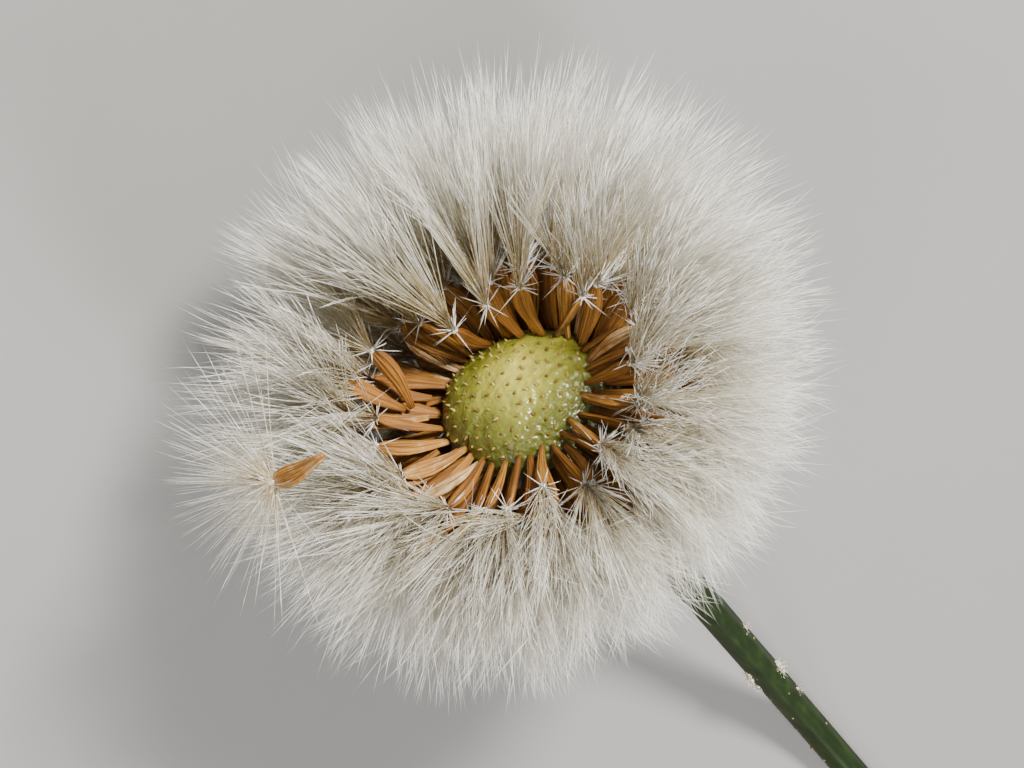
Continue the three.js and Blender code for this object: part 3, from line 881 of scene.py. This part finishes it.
colour = nodes.mix(cut, colour, (0.42, 0.47, 0.22, 1))
nodes.set(shader, "Base Color", colour)
nodes.set(shader, "Normal", relief)
stem.data.materials.append(skin)
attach(stem, "root")
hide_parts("stem")

# Wool caught on the stalk, and tiny tan bumps: how far along it, how far round from its top, size.
WOOL = [(25.6, 66, 0.2), (26.1, 60, 0.16), (28.5, 62, 0.1), (24.4, -64, 0.13), (25.0, -70, 0.15),
        (25.9, -66, 0.12), (21.0, 66, 0.1), (36.5, -55, 0.1)]
BUMPS = [(31.3, -70, 0.09), (33.4, -76, 0.11), (34.6, -64, 0.09), (22.2, 62, 0.07), (32.4, 58, 0.07),
         (27.5, -60, 0.07), (29.9, -40, 0.06), (27.6, 15, 0.05)]


def on_stalk(along, round_from_top, out=0.0):
    """A place on the stalk's skin, and the way out of it there, in the head's frame."""
    centres = np.array([c for c, _, _ in stations])
    angles = np.array([a for _, a, _ in stations])
    runs = np.concatenate([[0], np.cumsum(np.linalg.norm(np.diff(centres, axis=0), axis=1))])
    centre = np.array([np.interp(along, runs, centres[:, i]) for i in range(3)])
    angle = np.interp(along, runs, angles)
    t = math.radians(round_from_top)
    way = np.array([-math.sin(t), math.cos(t) * math.sin(angle), math.cos(t) * math.cos(angle)])
    return (centre + way * (STEM_RADIUS + out) - BALL_MIDDLE) @ HEAD_AXES, way @ HEAD_AXES


WOOL_A_SIZE = 300
CRUMBS_A_SIZE = 130
dice = np.random.default_rng(15)
wool_roots, wool_ways, wool_sizes, crumb_places, crumb_sizes = [], [], [], [], []
for along, turn_from_top, size in WOOL:
    at, out = on_stalk(along, turn_from_top, -0.02)
    for places, number in ((wool_roots, int(WOOL_A_SIZE * size)),
                           (crumb_places, int(CRUMBS_A_SIZE * size))):
        spread = dice.normal(0, size * 0.45, (number, 3)) * (1 - 0.6 * np.abs(out))
        spread[:, 2] *= 1.8
        places.append(at + spread + 0.3 * size * out)
    wool_ways.append(unit(dice.normal(size=(len(wool_roots[-1]), 3)) + 0.5 * out))
    wool_sizes.append(size * (0.7 + 0.7 * dice.random(len(wool_roots[-1]))))
    crumb_sizes.append(size * (0.25 + 0.3 * dice.random(len(crumb_places[-1]))))
wool_roots = np.concatenate(wool_roots)
wool_ways = np.concatenate(wool_ways)
wool_sizes = np.concatenate(wool_sizes)
crumb_places = np.concatenate(crumb_places)
crumb_sizes = np.concatenate(crumb_sizes)[:, None]
WOOL_THICKNESS = 7.0
curl = hair_form_piece("curl", 0.04, 0.03, 3)
wool = plant("stalk_wool", curl, silk, wool_roots, wool_ways, dice.normal(size=wool_ways.shape),
             slim_sizes(WOOL_THICKNESS, wool_sizes), 40)
unused(curl)
bump_places, bump_ways = zip(*[on_stalk(along, turn, -0.01) for along, turn, _ in BUMPS])
knob = piece_from("knob", *round_mesh(2))
tan, nodes, shader = finish_for("tan_bump", 0.6)
spots, relief = grain(nodes, object_place(nodes), 6000.0)
nodes.set(shader, "Base Color", nodes.ramp(spots, [(0.35, (0.12, 0.075, 0.03)), (0.65, (0.26, 0.18, 0.08))]))
nodes.set(shader, "Normal", relief)
knobs = plant("stalk_bumps", knob, tan, np.array(bump_places), np.array(bump_ways),
              dice.normal(size=(len(BUMPS), 3)), np.array([[s, s, s * 0.8] for _, _, s in BUMPS]), 41)
felt, nodes, shader = finish_for("felted_wool", 0.8)
spots, relief = grain(nodes, object_place(nodes), 9000.0, 1.0)
nodes.set(shader, "Base Color", nodes.ramp(spots, [(0.35, (0.42, 0.36, 0.22)), (0.6, (0.80, 0.78, 0.66))]))
nodes.set(shader, "Normal", relief)
crumbs = plant("stalk_crumbs", knob, felt, crumb_places, unit(dice.normal(size=crumb_places.shape)),
               dice.normal(size=crumb_places.shape), crumb_sizes * [[1.0, 0.8, 1.3]], 42)
unused(knob)
for piece, slot in ((wool, "hair"), (crumbs, "hair"), (knobs, "stem")):
    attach(piece, "root")


# Bracts (involucre)
# Thin green bracts in two rows on a collar under the cushion, bent back along the stalk once the
# seeds were ripe. They have pale dry edges and tips and a darker middle line.

COLLAR_TOP = -5.0
BRACTS_A_ROW = 13
BRACT_ROOT_RADIUS = 1.72
# Of each row: the first one's azimuth, length, width, height of the root, and its leans from the
# stalk's own direction at the root, the middle and the tip.
BRACT_ROWS = [(6.9, 6.7, 1.35, -0.1, [72, 20, 10]), (20.8, 4.1, 1.0, -0.45, [25, 12, 4])]

bract_points, bract_faces, bract_edges = [], [], []


def add_bract(azimuth, length, width, root, leans, wobble):
    base = len(bract_points)
    radial = direction(90, azimuth)
    sideways = direction(90, azimuth + 90)
    steps = 16
    lanes = 8
    spine = radial * BRACT_ROOT_RADIUS + np.array([0, 0, COLLAR_TOP + root])
    before = 0.0
    outer = []
    inner = []
    for i in range(steps + 1):
        t = i / steps
        angle = math.radians(np.interp(t, [0, 0.12, 0.45, 1], [leans[0], *leans]) + wobble * t * t)
        way = radial * math.sin(angle) - np.array([0, 0, math.cos(angle)])
        spine = spine + way * (t - before) * length
        before = t
        face = np.cross(sideways, way)
        belly = (0.72 + 0.5 * math.sin(math.pi * min(1, t * 1.35))) * (1 - t**3.2)
        half = width * 0.5 * max(0.03, belly)
        for j in range(lanes + 1):
            u = 2 * j / lanes - 1
            cup = -0.16 * (1 - u * u) + 0.03 * math.sin(9 * t + azimuth) * u
            thin = 0.13 * (1 - 0.75 * u * u) + 0.02
            point = spine + sideways * u * half + face * cup
            outer.append(point - face * thin / 2)
            inner.append(point + face * thin / 2)
            bract_edges.append(abs(u) ** 3 * 0.9 + max(0.0, t - 0.82) * 3)
    bract_edges.extend(bract_edges[-len(inner):])
    bract_points.extend(outer + inner)
    row = lanes + 1
    size = len(outer)
    for i in range(steps):
        for j in range(lanes):
            a = i * row + j
            b = a + 1
            c = b + row
            d = a + row
            bract_faces.append((base + a, base + b, base + c, base + d))
            bract_faces.append(tuple(base + size + v for v in (d, c, b, a)))
    rim = list(range(row)) + [i * row + lanes for i in range(1, steps + 1)]
    rim += [steps * row + j for j in range(lanes - 1, -1, -1)]
    rim += [i * row for i in range(steps - 1, 0, -1)]
    for a, b in zip(rim, rim[1:] + rim[:1]):
        bract_faces.append((base + b, base + a, base + size + a, base + size + b))


dice = np.random.default_rng(9)
for start, length, width, root, leans in BRACT_ROWS:
    for i in range(BRACTS_A_ROW):
        add_bract(start + i * 360 / BRACTS_A_ROW + dice.normal(0, 2),
                  length * (0.92 + 0.14 * dice.random()), width, root, leans, dice.normal(0, 6))
bract_count = len(bract_points)

# The collar that the bracts grow from, a ring under the cushion: radius and height.
COLLAR_SIDES = 52
collar_profile = [(1.2, 0.0), (1.75, 0.0), (1.84, -0.12), (1.8, -0.4), (1.6, -0.7), (1.25, -0.78),
                  (1.14, -0.6)]
for r, z in collar_profile:
    for s in range(COLLAR_SIDES):
        bract_points.append(direction(90, s * 360 / COLLAR_SIDES) * r + np.array([0, 0, COLLAR_TOP + z]))
        bract_edges.append(0.0)
for level in range(len(collar_profile)):
    for s in range(COLLAR_SIDES):
        t = (s + 1) % COLLAR_SIDES
        a = level * COLLAR_SIDES
        b = (level + 1) % len(collar_profile) * COLLAR_SIDES
        bract_faces.append(tuple(bract_count + v for v in (b + s, b + t, a + t, a + s)))
bracts = piece_from("bracts", in_row(np.array(bract_points)), bract_faces)
store(bracts, "edge", np.clip(bract_edges, 0, 1))

leaf, nodes, shader = finish_for("bract_green", 0.5)
place = object_place(nodes)
mottle, relief = grain(nodes, place, 1100.0)
colour = nodes.ramp(mottle, [(0.3, (0.055, 0.115, 0.02)), (0.7, (0.15, 0.25, 0.055))])
colour = nodes.mix(attribute(nodes, "edge"), colour, (0.50, 0.48, 0.26, 1))
nodes.set(shader, "Base Color", colour)
nodes.set(shader, "Normal", relief)
bracts.data.materials.append(leaf)
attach(bracts, "root")
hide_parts("involucre")


# Table, light and camera
# A plain pale table under soft studio light. The camera looks down on the head from in front,
# rolled as the photograph is, so that the stem leaves the frame at its lower right corner.

TABLE_REACH = 0.9
corners = [(x * TABLE_REACH, y * TABLE_REACH, 0) for x, y in ((-1, -1), (1, -1), (1, 1), (-1, 1))]
table = piece_from("table", corners, [(0, 1, 2, 3)], smooth=False)
paper, nodes, shader = finish_for("pale_table", 0.85)
place = object_place(nodes)
fine, _ = grain(nodes, place, 60.0)
nodes.set(shader, "Base Color", nodes.mix(fine, (0.235, 0.233, 0.228, 1), (0.26, 0.258, 0.252, 1)))
table.data.materials.append(paper)
table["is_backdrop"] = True

world = bpy.data.worlds.new("studio")
bpy.context.scene.world = world
world.use_nodes = True
sky = world.node_tree.nodes["Background"].inputs
sky["Color"].default_value = (0.93, 0.94, 1.0, 1)
sky["Strength"].default_value = 0.25

head = Vector(BALL_MIDDLE * MM)


def lamp(name, way, distance, size, power, colour):
    """A round soft lamp that looks at the head from some way off."""
    data = bpy.data.lights.new(name, "AREA")
    data.shape = "DISK"
    data.size = size
    data.energy = power
    data.color = colour
    light = bpy.data.objects.new(name, data)
    way = Vector(way).normalized()
    light.location = head + way * distance
    light.rotation_euler = way.to_track_quat("Z", "Y").to_euler()
    bpy.context.scene.collection.objects.link(light)


lamp("key", (-0.53, -0.52, 0.67), 0.30, 0.06, 2.8, (1.0, 0.97, 0.92))
lamp("back", (0.1, 0.8, 0.9), 0.32, 0.12, 1.1, (1.0, 0.98, 0.95))
lamp("fill", (0.55, -0.30, 0.76), 0.32, 0.14, 0.45, (1.0, 0.96, 0.9))

PIXELS_A_METRE = 25000
PHOTO_WIDTH = 1024
PHOTO_HEIGHT = 768
BALL_IN_PHOTO = (505, 373)
SENSOR_WIDTH = 36
CAMERA_DISTANCE = 0.12
CAMERA_TILT = math.radians(56)
ROLL_COSINE = 0.754
ROLL_SINE = 0.657

toward = Vector((0, -math.cos(CAMERA_TILT), math.sin(CAMERA_TILT)))
level = Vector((0, math.sin(CAMERA_TILT), math.cos(CAMERA_TILT)))
right = Vector((-ROLL_COSINE, 0, 0)) + ROLL_SINE * level
above = Vector((-ROLL_SINE, 0, 0)) - ROLL_COSINE * level
middle = head + right * ((PHOTO_WIDTH / 2 - BALL_IN_PHOTO[0]) / PIXELS_A_METRE) \
    + above * ((BALL_IN_PHOTO[1] - PHOTO_HEIGHT / 2) / PIXELS_A_METRE)
camera_data = bpy.data.cameras.new("camera")
camera_data.sensor_width = SENSOR_WIDTH
camera_data.lens = CAMERA_DISTANCE * PIXELS_A_METRE * SENSOR_WIDTH / PHOTO_WIDTH
camera_data.clip_start = 0.005
camera_data.clip_end = 10
camera = bpy.data.objects.new("camera", camera_data)
turn = Matrix((right, above, toward)).transposed().to_4x4()
turn.translation = middle + toward * CAMERA_DISTANCE
camera.matrix_world = turn
bpy.context.scene.collection.objects.link(camera)
bpy.context.scene.camera = camera

size = {"cad": [list(corner) for corner in cad_box],
        "dressed": [list(corner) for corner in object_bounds()]}
